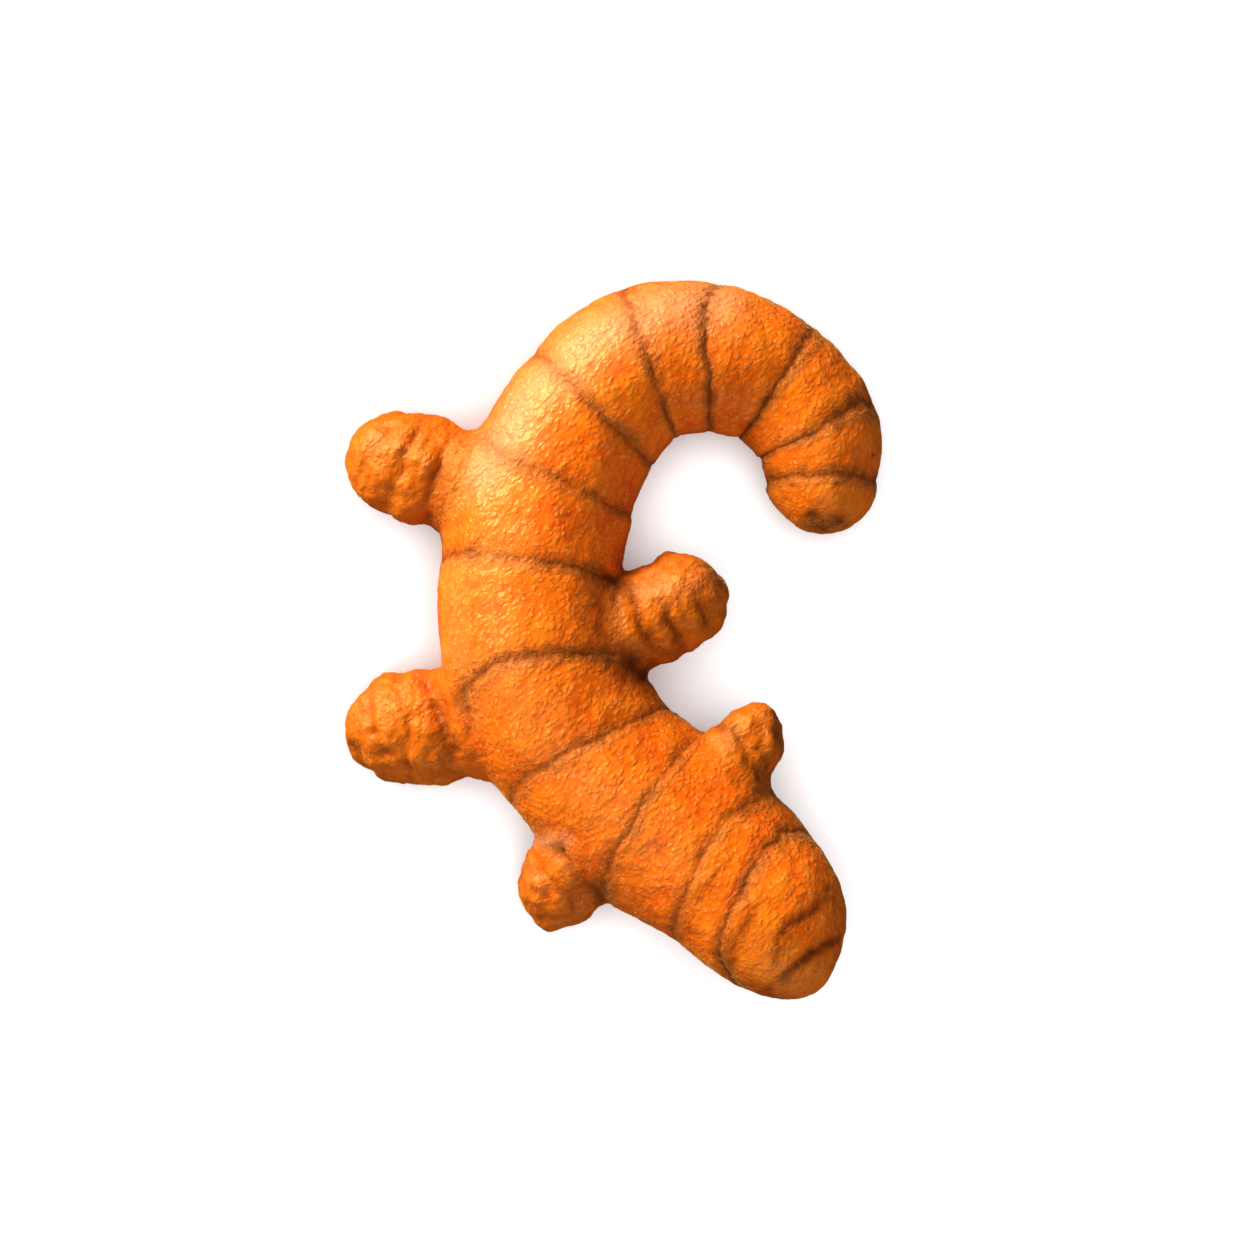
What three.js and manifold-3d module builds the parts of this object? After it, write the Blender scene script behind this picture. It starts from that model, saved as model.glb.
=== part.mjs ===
// A fresh turmeric rhizome, as dug and washed: one hooked main limb and the five stubby
// buds that grew from it, all one piece. It lies on its side on a flat surface, at z = 0.
// Every limb is a lathe whose height counts growth rings, bent along its own centreline;
// the buds are then joined to the main limb, and the belly is pressed flat where it rests.
// Millimetres, +Z up, +Y from the blunt old end towards the hook.

import * as THREE from "three";
import { mergeVertices } from "three/addons/utils/BufferGeometryUtils.js";
import Module from "manifold-3d";

const flatness = 0.94; // height of a section over its width
const swell = 0.02; // how far a limb swells between two rings, as a share of its width
const mainLimbSides = 28;
const budSides = 20;
const stepsPerInternode = 4;
const stepsPerDome = 6;
const domePower = 1.8; // 2 makes an elliptical end, less makes it more pointed
const skinColour = 0xe67a16;

// A limb's rings, from one end point to the other. Each gives the middle of the limb there,
// seen from above, its half width, and how far its underside stands off the surface.
// A lift below zero is pressed into the surface and cut flat.
const mainLimb = [
  { x: 26.3, y: 13.2, halfWidth: 6.0, lift: 2.4 }, // growing tip, inside the hook
  { x: 26.4, y: 20.0, halfWidth: 7.0, lift: 0.8 },
  { x: 25.6, y: 26.4, halfWidth: 7.9, lift: -0.2 },
  { x: 20.7, y: 32.3, halfWidth: 8.2, lift: -0.3 },
  { x: 12.2, y: 35.4, halfWidth: 9.1, lift: 0.1 },
  { x: 4.0, y: 34.5, halfWidth: 9.8, lift: 0.4 },
  { x: -2.6, y: 28.9, halfWidth: 10.2, lift: 0.3 },
  { x: -7.5, y: 20.4, halfWidth: 10.6, lift: 0.0 },
  { x: -10.2, y: 9.4, halfWidth: 11.2, lift: -0.3 },
  { x: -9.0, y: -3.6, halfWidth: 11.7, lift: -0.2 },
  { x: -3.2, y: -14.0, halfWidth: 11.2, lift: 0.1 },
  { x: 4.8, y: -21.7, halfWidth: 11.6, lift: -0.3 },
  { x: 13.2, y: -27.9, halfWidth: 10.9, lift: 1.4 },
  { x: 18.5, y: -33.3, halfWidth: 10.1, lift: 4.0 },
  { x: 24.2, y: -43.4, halfWidth: 9.2, lift: 8.5 }, // blunt old end, a little raised
];

// The buds, from a point inside the main limb out to their tips. Their roots flare.
const buds = [
  [
    { x: -10.0, y: 17.5, halfWidth: 7.6, lift: 3.4 }, // upper left
    { x: -18.5, y: 19.8, halfWidth: 6.1, lift: 3.4 },
    { x: -23.0, y: 21.2, halfWidth: 6.7, lift: 2.2 },
    { x: -28.0, y: 22.5, halfWidth: 6.3, lift: 1.8 },
    { x: -33.4, y: 23.7, halfWidth: 5.4, lift: 2.0 },
  ],
  [
    { x: -9.0, y: -8.6, halfWidth: 8.4, lift: 2.0 }, // lower left, the largest
    { x: -17.5, y: -10.2, halfWidth: 6.9, lift: 1.6 },
    { x: -22.5, y: -10.8, halfWidth: 7.1, lift: 0.2 },
    { x: -27.5, y: -11.1, halfWidth: 6.8, lift: -0.2 },
    { x: -33.7, y: -11.9, halfWidth: 6.0, lift: 0.6 },
  ],
  [
    { x: -6.0, y: -1.6, halfWidth: 7.4, lift: 4.6 }, // in the hollow of the hook
    { x: 1.0, y: 1.2, halfWidth: 5.9, lift: 6.2 },
    { x: 5.0, y: 3.4, halfWidth: 6.1, lift: 6.2 },
    { x: 9.0, y: 5.4, halfWidth: 5.8, lift: 6.6 },
    { x: 13.4, y: 7.9, halfWidth: 5.0, lift: 7.6 },
  ],
  [
    { x: 10.8, y: -21.4, halfWidth: 7.0, lift: 6.0 }, // small, lower right
    { x: 14.6, y: -16.4, halfWidth: 5.0, lift: 8.6 },
    { x: 17.0, y: -12.6, halfWidth: 4.3, lift: 9.4 },
    { x: 19.0, y: -8.2, halfWidth: 3.6, lift: 10.2 },
  ],
  [
    { x: -1.0, y: -24.4, halfWidth: 7.0, lift: 3.0 }, // small, lower left
    { x: -4.6, y: -28.2, halfWidth: 5.4, lift: 2.9 },
    { x: -7.0, y: -31.4, halfWidth: 5.0, lift: 2.1 },
    { x: -9.3, y: -36.0, halfWidth: 4.2, lift: 1.6 },
  ],
];

const wasm = await Module();
wasm.setup();

// The centre line runs through the middle of each ring's section.
function centreLine(rings) {
  return new THREE.CatmullRomCurve3(
    rings.map(({ x, y, halfWidth, lift }) => new THREE.Vector3(x, y, lift + flatness * halfWidth)),
  );
}

// Half width as a smooth curve over the ring number, so that it follows the centre line's parameter.
function widthLine(rings) {
  return new THREE.SplineCurve(rings.map(({ halfWidth }, i) => new THREE.Vector2(i, halfWidth)));
}

// Ring numbers at which a limb gets a row of vertices: even steps between rings, and over the
// first and last internodes steps of equal angle, because those are the domed ends.
function rowsOf(lastRing) {
  const dome = Array.from({ length: stepsPerDome + 1 }, (_, i) =>
    Math.sin(((i / stepsPerDome) * Math.PI) / 2),
  );
  const rows = dome.map((reach) => 1 - reach).reverse();
  for (let row = 1; row <= (lastRing - 2) * stepsPerInternode; row++) {
    rows.push(1 + row / stepsPerInternode);
  }
  return rows.concat(dome.slice(1).map((reach) => lastRing - 1 + reach));
}

// The outline that the lathe turns: half width against ring number, on the axis at both ends.
function outline(rings) {
  const lastRing = rings.length - 1;
  const widths = widthLine(rings);
  return rowsOf(lastRing).map((ring) => {
    const reach = Math.max(1 - ring, ring - (lastRing - 1), 0);
    const dome = Math.pow(Math.max(1 - Math.pow(reach, domePower), 0), 1 / domePower);
    const internode = 1 + swell * Math.abs(Math.sin(Math.PI * ring));
    return new THREE.Vector2(dome * internode * widths.getPoint(ring / lastRing).y, ring);
  });
}

// Bends an upright lathe so that its axis follows the centre line.
function bend(geometry, line, lastRing) {
  const position = geometry.getAttribute("position");
  const up = new THREE.Vector3(0, 0, 1);
  const point = new THREE.Vector3();
  for (let i = 0; i < position.count; i++) {
    point.fromBufferAttribute(position, i);
    const along = point.y / lastRing;
    const tangent = line.getTangent(along);
    const side = new THREE.Vector3().crossVectors(up, tangent).normalize();
    const rise = new THREE.Vector3().crossVectors(tangent, side);
    const bent = line
      .getPoint(along)
      .addScaledVector(side, point.x)
      .addScaledVector(rise, -point.z * flatness);
    position.setXYZ(i, bent.x, bent.y, bent.z);
  }
}

function limbGeometry(rings, sides) {
  const lastRing = rings.length - 1;
  const geometry = new THREE.LatheGeometry(outline(rings), sides);
  bend(geometry, centreLine(rings), lastRing);
  return geometry;
}

// A three.js geometry as a manifold-3d solid. Triangles that shrank to a line at a pole go.
function solidOf(geometry) {
  const bare = geometry.clone();
  bare.deleteAttribute("normal");
  bare.deleteAttribute("uv");
  const merged = mergeVertices(bare, 1e-4);
  const corners = merged.index.array;
  const kept = [];
  for (let i = 0; i < corners.length; i += 3) {
    const [a, b, c] = corners.slice(i, i + 3);
    if (a !== b && b !== c && c !== a) kept.push(a, b, c);
  }
  return new wasm.Manifold(
    new wasm.Mesh({
      numProp: 3,
      vertProperties: new Float32Array(merged.getAttribute("position").array),
      triVerts: new Uint32Array(kept),
    }),
  );
}

function geometryOf(solid) {
  const mesh = solid.getMesh();
  const geometry = new THREE.BufferGeometry();
  geometry.setAttribute("position", new THREE.BufferAttribute(mesh.vertProperties, 3));
  geometry.setIndex(new THREE.BufferAttribute(mesh.triVerts, 1));
  geometry.computeVertexNormals();
  return geometry;
}

// What lies below the surface that the rhizome rests on.
function groundSolid() {
  const slab = new THREE.BoxGeometry(200, 200, 20);
  slab.translate(0, 0, -10);
  return solidOf(slab);
}

function rhizomeGeometry() {
  let body = solidOf(limbGeometry(mainLimb, mainLimbSides));
  for (const bud of buds) {
    body = body.add(solidOf(limbGeometry(bud, budSides)));
  }
  const geometry = geometryOf(body.subtract(groundSolid()));
  geometry.computeBoundingBox();
  const middle = geometry.boundingBox.getCenter(new THREE.Vector3());
  geometry.translate(-middle.x, -middle.y, -geometry.boundingBox.min.z);
  return geometry;
}

const rhizome = new THREE.Mesh(
  rhizomeGeometry(),
  new THREE.MeshStandardMaterial({ color: skinColour, roughness: 0.45, metalness: 0 }),
);
rhizome.name = "turmeric_rhizome";

const turmericRoot = new THREE.Group();
turmericRoot.add(rhizome);

export default turmericRoot;
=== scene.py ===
import math

import bpy
import numpy as np
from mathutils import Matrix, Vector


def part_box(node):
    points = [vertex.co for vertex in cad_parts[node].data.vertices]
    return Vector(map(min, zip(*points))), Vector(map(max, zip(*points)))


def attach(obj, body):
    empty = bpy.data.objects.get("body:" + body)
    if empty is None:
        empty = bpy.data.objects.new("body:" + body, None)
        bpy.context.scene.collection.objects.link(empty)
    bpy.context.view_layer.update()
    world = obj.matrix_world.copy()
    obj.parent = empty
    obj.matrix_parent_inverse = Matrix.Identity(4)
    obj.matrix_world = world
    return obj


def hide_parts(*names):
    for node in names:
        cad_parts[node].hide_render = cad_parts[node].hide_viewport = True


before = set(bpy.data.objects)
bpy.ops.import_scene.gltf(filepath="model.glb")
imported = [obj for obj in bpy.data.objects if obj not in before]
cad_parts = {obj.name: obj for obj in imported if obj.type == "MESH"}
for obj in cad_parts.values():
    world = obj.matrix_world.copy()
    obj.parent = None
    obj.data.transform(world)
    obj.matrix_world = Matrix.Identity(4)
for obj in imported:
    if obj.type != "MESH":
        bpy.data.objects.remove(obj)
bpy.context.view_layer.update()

mm = 0.001  # the dictionaries below are in millimetres and the mesh is in metres


def newObject(name, data):
    made = bpy.data.objects.new(name, data)
    bpy.context.scene.collection.objects.link(made)
    return made


# The root's form. Each limb is a list of its growth rings from one end to the other: x and y of the
# limb's middle seen from above, its half width, and how far its underside stands off the table.
rootForm = {
    "flatness": 0.94,  # height of a section over its width
    "domePower": 1.8,  # 2 makes an elliptical end, less makes it more pointed
    "mainLimb": [
        (26.3, 13.2, 6.0, 2.4),
        (26.4, 20.0, 7.0, 0.8),
        (25.6, 26.4, 7.9, -0.2),
        (20.7, 32.3, 8.2, -0.3),
        (12.2, 35.4, 9.1, 0.1),
        (4.0, 34.5, 9.8, 0.4),
        (-2.6, 28.9, 10.2, 0.3),
        (-7.5, 20.4, 10.6, 0.0),
        (-10.2, 9.4, 11.2, -0.3),
        (-9.0, -3.6, 11.7, -0.2),
        (-3.2, -14.0, 11.2, 0.1),
        (4.8, -21.7, 11.6, -0.3),
        (13.2, -27.9, 10.9, 1.4),
        (18.5, -33.3, 10.1, 4.0),
        (24.2, -43.4, 9.2, 8.5),
    ],
    "buds": {
        "upperLeft": [
            (-10.0, 17.5, 7.6, 3.4),
            (-18.5, 19.8, 6.1, 3.4),
            (-23.0, 21.2, 6.7, 2.2),
            (-28.0, 22.5, 6.3, 1.8),
            (-33.4, 23.7, 5.4, 2.0),
        ],
        "lowerLeft": [
            (-9.0, -8.6, 8.4, 2.0),
            (-17.5, -10.2, 6.9, 1.6),
            (-22.5, -10.8, 7.1, 0.2),
            (-27.5, -11.1, 6.8, -0.2),
            (-33.7, -11.9, 6.0, 0.6),
        ],
        "inHook": [
            (-6.0, -1.6, 7.4, 4.6),
            (1.0, 1.2, 5.9, 6.2),
            (5.0, 3.4, 6.1, 6.2),
            (9.0, 5.4, 5.8, 6.6),
            (13.4, 7.9, 5.0, 7.6),
        ],
        "smallRight": [
            (10.8, -21.4, 7.0, 6.0),
            (14.6, -16.4, 5.0, 8.6),
            (17.0, -12.6, 4.3, 9.4),
            (19.0, -8.2, 3.6, 10.2),
        ],
        "smallLeft": [
            (-1.0, -24.4, 7.0, 3.0),
            (-4.6, -28.2, 5.4, 2.9),
            (-7.0, -31.4, 5.0, 2.1),
            (-9.3, -36.0, 4.2, 1.6),
        ],
    },
    "sampleStep": 0.4,  # between samples of a limb's centre line
    "tubeSides": 96,
    "voxel": 0.39,  # size of the net that welds the limbs into one skin
    # how far from each bud's base the skin starts to swell over the joint
    "fillet": {"upperLeft": 3.2, "lowerLeft": 3.2, "inHook": 1.9, "smallRight": 3.0, "smallLeft": 2.8},
    "plump": 0.2,  # how far the whole skin is swollen
    "bellySoftness": 0.5,  # how gently the underside turns into its flat
    "jointRounds": 30,  # rounds of smoothing over the joints
    "skinShare": 0.35,  # how far each round of smoothing moves the whole skin
    "skinRounds": 2,
    "hollowShare": 0.6,  # the same for the smooth skin that hollows are measured from
    "hollowRounds": 40,
}

# The scars that old leaves left round each limb: at, slant, lean, deep, lip and dark. A scar crosses the
# limb "at" millimetres from its first end, "slant" further along on the limb's left side and "lean"
# further along on top. "deep" scales its groove, the sign of "lip" says on which side its torn edge
# stands, and "dark" scales its brown.
scarRings = {
    "mainLimb": [
        (6.8, 0.4, 0.2, 1.0, -0.8, 1.0),
        (11.9, -1.2, 1.6, 1.1, -1.2, 1.0),
        (21.5, -0.1, 0.4, 1.2, -0.5, 1.1),
        (29.4, -0.8, 2.6, 1.0, 0.5, 1.0),
        (39.4, 1.1, -0.5, 0.9, 0.8, 0.85),
        (47.8, 0.9, 0.0, 0.9, -0.8, 0.8),
        (57.5, 1.0, 0.2, 0.8, 0.7, 0.7),
        (69.8, 1.0, -1.2, 0.9, 1.0, 0.95),
        (86.0, 1.3, -5.9, 0.8, 1.0, 0.95),
        (95.6, 1.9, -3.4, 0.7, 0.7, 0.8),
        (105.5, -1.5, -2.2, 0.7, 0.6, 0.8),
        (117.2, -1.7, -2.8, 0.7, 0.4, 0.8),
        (125.9, -4.5, -4.7, 0.7, 0.2, 1.0),
    ],
    "upperLeft": [
        (12.2, 0.5, 0.7, 1.8, -0.6, 0.6),
        (16.5, 0.8, 0.3, 1.6, -0.8, 0.6),
        (20.2, 1.6, 1.0, 1.0, -0.5, 0.5),
    ],
    "lowerLeft": [
        (13.0, -2.4, 0.4, 1.8, -0.7, 0.7),
        (17.6, -0.3, -0.3, 1.6, -0.9, 0.6),
        (21.2, -0.9, 0.5, 1.0, -0.4, 0.5),
    ],
    "inHook": [
        (10.2, 0.9, 0.2, 1.4, -0.5, 0.7),
        (13.4, 0.6, 0.2, 0.9, -0.4, 0.5),
        (17.2, 0.8, 0.3, 0.8, -0.4, 0.5),
    ],
    "smallRight": [
        (7.0, 0.3, 0.0, 1.2, 0.5, 0.7),
        (10.4, 0.4, 0.3, 1.2, -0.5, 0.6),
    ],
    "smallLeft": [
        (9.6, -0.3, 0.3, 1.2, -0.4, 0.6),
        (12.6, 0.2, 0.2, 0.8, -0.3, 0.5),
    ],
}

# Relief of the skin, in millimetres: depths and heights, and the sizes of what they are spread over.
skinRelief = {
    "scarDepth": 0.17,
    "scarWidth": 0.55,
    "valleyDepth": 0.16,  # the shallow dip on both sides of a scar
    "valleyWidth": 1.9,
    "lipHeight": 0.12,
    "lipOffset": 0.9,  # from the scar to the middle of its lip
    "lipWidth": 0.5,
    "wander": 0.6,  # how far a scar strays from an even ring
    "ringReach": 2.4,  # past this a scar no longer marks the skin
    "breakSize": 2.3,  # of the stretches where a scar is deep or faint
    "tearSize": 0.9,
    "budTopShare": 0.12,  # how much of a bud's rings shows on top, where its own creases lie
    "budTopEdge": (-0.2, 0.5),  # between which shares of a bud's height its rings fade out
    "lumpHeight": 0.34,
    "lumpSize": 7.5,
    "dimpleHeight": 0.13,
    "dimpleSize": 2.8,
    "slantHeight": 0.065,  # short wrinkles that run slantwise over the main limb
    "slantLength": 3.6,
    "slantWidth": 1.15,
    "slantTurn": 50.0,  # degrees round from +X
    "pebbleHeight": 0.07,
    "pebbleSize": 1.2,
    "pebbleStir": 0.35,  # how far the pebbles stray from even cells, and over what size
    "pebbleStirSize": 1.7,
    "budPebble": 1.0,  # how much higher the pebbles stand on a bud
    "budFoldHeight": 0.2,  # bands that run round a bud
    "budFoldLength": 1.5,
    "budFoldWidth": 2.8,
    "budStir": 0.3,
    "budStirSize": 2.5,
    "budLumpHeight": 0.42,
    "budLumpSize": 3.4,
    "creaseStray": 0.22,  # how far a crease strays from its path, and over what size
    "creaseStraySize": 1.6,
    "creaseCore": 0.4,  # half the width of the sharper cut along a crease
    "coreShare": 0.35,  # of a crease's depth that is in the sharper cut
    "creaseEnds": 0.35,  # of a crease's depth that is left at its ends
    "upperEdge": (-0.15, 0.3),  # how far a normal points up where the marks on top fade in
    "shareReach": 0.7,  # how quickly one limb's relief gives way to another's
    "jointReach": 1.6,
}

# Creases on the upper side: the path of each from above, half the groove's width, its depth and how dark
# it is; that dark is partly the groove's own brown and partly painted shade in it. The first rows lie on
# the buds, the last ones on the main limb.
skinCreases = [
    ([(-19.8, 25.3), (-20.9, 23.5), (-22.0, 20.4), (-23.0, 17.6), (-23.4, 15.3)], 1.5, 0.8, 0.45),
    ([(-24.1, 27.2), (-24.5, 25.2), (-25.9, 23.1), (-26.4, 20.9), (-27.3, 18.9)], 0.8, 0.6, 0.4),
    ([(-27.6, 26.9), (-28.6, 25.1), (-30.0, 23.8), (-30.9, 21.8), (-31.6, 20.1)], 0.55, 0.32, 0.45),
    ([(-22.3, 27.3), (-22.8, 25.0), (-23.9, 22.4)], 0.7, 0.16, 0.1),
    ([(-29.6, 18.6), (-28.9, 17.4), (-27.2, 16.4)], 0.6, 0.2, 0.3),
    ([(-18.7, -6.3), (-18.1, -8.1), (-17.8, -10.1), (-17.6, -12.0)], 0.45, 0.35, 0.6),
    ([(-24.1, -4.3), (-23.2, -5.8), (-22.3, -8.2), (-21.1, -10.8), (-20.2, -14.9)], 1.35, 0.95, 0.6),
    ([(-26.8, -5.0), (-26.2, -7.4), (-25.3, -10.6), (-25.7, -14.6), (-25.2, -17.4)], 0.7, 0.5, 0.35),
    ([(-22.6, -5.0), (-21.2, -7.6), (-20.2, -10.4)], 0.5, 0.25, 0.35),
    ([(-30.4, -7.7), (-30.3, -10.0), (-29.8, -12.0), (-28.4, -14.4)], 0.6, 0.4, 0.45),
    ([(-33.1, -11.7), (-32.1, -14.1), (-30.5, -16.3)], 0.55, 0.35, 0.5),
    ([(-22.6, -12.4), (-23.2, -14.4), (-22.9, -16.4)], 0.6, 0.22, 0.25),
    ([(-28.6, -5.6), (-28.9, -7.2), (-28.4, -9.0)], 0.5, 0.16, 0.2),
    ([(-1.8, 8.4), (-0.6, 7.6), (0.6, 7.2)], 0.9, 0.35, 0.8),
    ([(2.1, 7.1), (2.8, 4.3), (3.7, 1.0), (5.3, -1.3)], 0.9, 0.7, 0.85),
    # this row's dark paints the shade under the base of the bud in the hook
    ([(1.5, -1.4), (2.7, -3.4), (4.5, -5.1)], 1.6, 0.45, 0.95),
    ([(6.1, 5.0), (7.1, 2.1), (8.1, 0.1), (9.0, -1.2)], 0.7, 0.5, 0.9),
    ([(3.6, 2.6), (4.9, 0.2), (6.4, -2.0)], 0.6, 0.3, 0.5),
    ([(10.2, 5.2), (11.2, 3.0), (11.6, 1.4)], 0.5, 0.3, 0.9),
    ([(0.2, 5.8), (0.6, 3.6), (1.4, 1.2)], 0.5, 0.18, 0.35),
    ([(12.0, -9.2), (13.4, -10.6), (14.4, -12.4)], 0.6, 0.25, 0.4),
    ([(15.0, -10.6), (15.6, -12.2), (16.7, -14.6), (17.9, -16.6)], 0.6, 0.35, 0.6),
    ([(18.0, -9.6), (18.2, -11.4), (18.4, -13.2), (19.2, -15.6)], 0.55, 0.32, 0.6),
    ([(20.6, -10.6), (20.3, -12.4)], 0.5, 0.25, 0.6),
    ([(-3.2, -30.1), (-1.9, -31.5), (-0.8, -33.2)], 0.9, 0.4, 0.8),
    ([(-5.8, -31.2), (-4.8, -32.8), (-4.4, -34.6)], 0.5, 0.2, 0.45),
    ([(-6.2, -25.9), (-5.4, -26.9), (-5.0, -28.2), (-4.1, -29.6)], 0.4, 0.16, 0.35),
    ([(-9.4, -28.4), (-7.6, -29.6), (-6.4, -31.0)], 0.5, 0.2, 0.3),
    ([(-10.4, -30.6), (-8.8, -32.0), (-7.6, -33.6)], 0.5, 0.22, 0.35),
    ([(24.1, 15.5), (24.9, 15.9), (25.7, 15.2)], 0.4, 0.15, 0.9),
    ([(27.4, 15.6), (28.3, 15.2), (28.6, 14.5)], 0.4, 0.15, 0.8),
    ([(24.9, 14.3), (26.2, 13.9), (27.4, 14.1)], 0.4, 0.12, 0.6),
    ([(25.9, -32.3), (22.8, -33.9), (21.3, -34.6), (20.2, -36.3), (19.8, -38.7)], 0.8, 0.26, 0.8),
    ([(27.6, -36.6), (24.3, -38.2), (22.5, -39.4), (21.2, -40.5), (20.8, -42.2)], 0.9, 0.28, 0.9),
    ([(16.9, -32.6), (15.4, -35.6), (14.4, -38.6), (14.1, -41.6)], 0.9, 0.1, 0.5),
    ([(-9.9, -1.2), (-6.4, -1.5), (-1.0, -2.4), (3.8, -4.4)], 0.8, 0.1, 0.45),
    ([(28.2, 19.5), (30.2, 19.8), (32.4, 19.4)], 0.7, 0.1, 0.3),
]

# Single pits and bumps on the upper side: x, y, radius, depth, or height where it is negative, and how
# dark it is.
skinMarks = [
    (-27.3, 18.8, 0.85, 0.5, 0.5),
    (-30.8, 21.5, 0.4, 0.2, 0.6),
    (-25.7, 22.3, 0.7, -0.25, 0.0),
    (-23.4, -5.6, 0.8, 0.4, 0.3),
    (-20.0, -14.0, 1.0, 0.4, 0.7),
    (-28.5, -14.0, 0.95, 0.55, 0.6),
    (-30.1, -11.5, 0.6, 0.35, 0.6),
    (-26.0, -15.6, 0.6, 0.3, 0.3),
    (-24.6, -10.4, 0.6, -0.25, 0.0),
    (8.1, 0.1, 0.5, 0.3, 0.7),
    (12.6, 8.2, 0.9, 0.14, 0.9),
    (13.1, 7.0, 0.7, 0.1, 0.8),
    (17.9, -13.3, 0.5, 0.3, 0.8),
    (19.2, -15.7, 0.6, 0.3, 0.8),
    (17.9, -17.0, 0.6, 0.3, 0.7),
    (16.6, -15.2, 0.5, 0.3, 0.6),
    (15.0, -11.2, 0.5, 0.3, 0.5),
    (16.8, -10.2, 0.8, -0.35, 0.0),
    (-7.2, -24.9, 1.0, -0.45, 0.0),
    (-5.9, -27.6, 0.7, -0.25, 0.0),
    (-6.2, -25.9, 0.35, 0.3, 0.9),
    (-9.6, -28.2, 0.9, -0.3, 0.0),
    (-8.8, -30.6, 0.8, -0.25, 0.0),
    (-5.6, -30.6, 1.5, -0.5, 0.0),
    (-10.4, -30.2, 0.6, -0.3, 0.0),
    (-9.2, -32.6, 0.6, -0.25, 0.0),
    (-7.4, -29.2, 0.7, -0.3, 0.0),
    (-6.9, -32.2, 0.5, -0.2, 0.0),
    (-9.0, -35.0, 0.6, 0.15, 0.6),
    (-7.5, -34.8, 0.5, 0.15, 0.5),
    (26.4, -30.6, 0.6, 0.15, 0.8),
    (19.2, -42.7, 0.9, 0.15, 0.7),
    (-12.5, 24.9, 0.5, 0.12, 0.35),
    (32.6, 23.1, 0.3, 0.1, 0.9),
]

# Where the skin is crusty and tan: the path from above, half the width and how crusty.
crustPatches = [
    ([(-18.0, 25.0), (-19.3, 20.0), (-20.6, 15.5)], 1.5, 0.6),
    ([(-18.6, -2.6), (-17.4, -5.0), (-17.2, -9.4)], 1.6, 1.0),
    ([(-0.4, 6.2), (0.0, 3.0), (0.4, 0.0)], 1.0, 0.7),
    ([(12.3, 8.8), (12.9, 7.0)], 1.0, 1.0),
    ([(12.4, -9.0), (14.6, -11.6)], 1.2, 0.5),
    ([(-8.2, -24.6), (-6.4, -25.6)], 0.9, 0.9),
    ([(24.9, 14.6), (28.2, 14.3)], 1.5, 1.0),
    ([(21.5, -42.6), (25.0, -40.4)], 1.6, 0.7),
    ([(21.0, 25.2), (26.6, 25.8)], 1.1, 0.9),
    ([(22.0, 20.6), (30.0, 20.4)], 0.8, 0.6),
]

# Where the skin is brown, round the bases of the buds and at the old end: real stains at the old end and
# the buds' tips, and painted shade round the bases of the buds and over the small right bud. The path
# from above, half the width and how brown.
stainsAndPaintedShade = [
    # the first three rows paint the shade round and under the base of the bud in the hook
    ([(-2.4, 7.0), (-1.8, 2.0), (0.4, -2.6), (4.2, -5.2)], 1.9, 0.6),
    ([(-2.4, 8.8), (-1.4, 6.8), (0.4, 6.4)], 1.3, 0.9),
    ([(-0.8, -1.6), (2.0, -3.0), (4.8, -4.8)], 2.2, 1.0),
    ([(-21.6, 20.0), (-22.6, 15.4)], 1.7, 0.4),
    ([(-21.2, -10.6), (-19.8, -15.0)], 1.6, 0.5),
    ([(-18.0, -11.0), (-17.2, -14.0)], 1.3, 0.3),
    ([(-3.8, -29.2), (-1.0, -33.0)], 1.2, 0.6),
    ([(12.8, 9.0), (13.4, 6.6)], 0.9, 0.6),
    ([(6.4, -1.6), (9.6, -1.4)], 1.0, 0.4),
    # the next two rows paint shade over the small right bud
    ([(12.6, -8.6), (15.4, -12.4), (18.4, -17.0)], 1.4, 0.5),
    ([(19.4, -9.6), (20.4, -13.4)], 1.2, 0.45),
    ([(14.6, -40.6), (18.2, -43.2), (22.0, -44.2)], 1.3, 0.55),
    ([(26.4, -31.0), (28.2, -35.0), (27.4, -40.0)], 1.0, 0.35),
    ([(24.6, 15.3), (26.4, 14.2), (28.6, 14.9)], 1.1, 0.85),
    ([(23.6, -24.6), (26.6, -25.2)], 1.0, 0.5),
    ([(20.6, -41.4), (24.0, -38.4), (27.4, -36.8)], 0.8, 0.75),
    ([(19.6, -39.0), (22.6, -34.1), (25.6, -31.6)], 0.7, 0.6),
    ([(8.4, -36.8), (10.4, -31.6), (13.4, -27.0)], 0.7, 0.45),
    ([(14.1, -41.4), (15.4, -36.4), (17.2, -32.6)], 0.8, 0.6),
]

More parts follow.
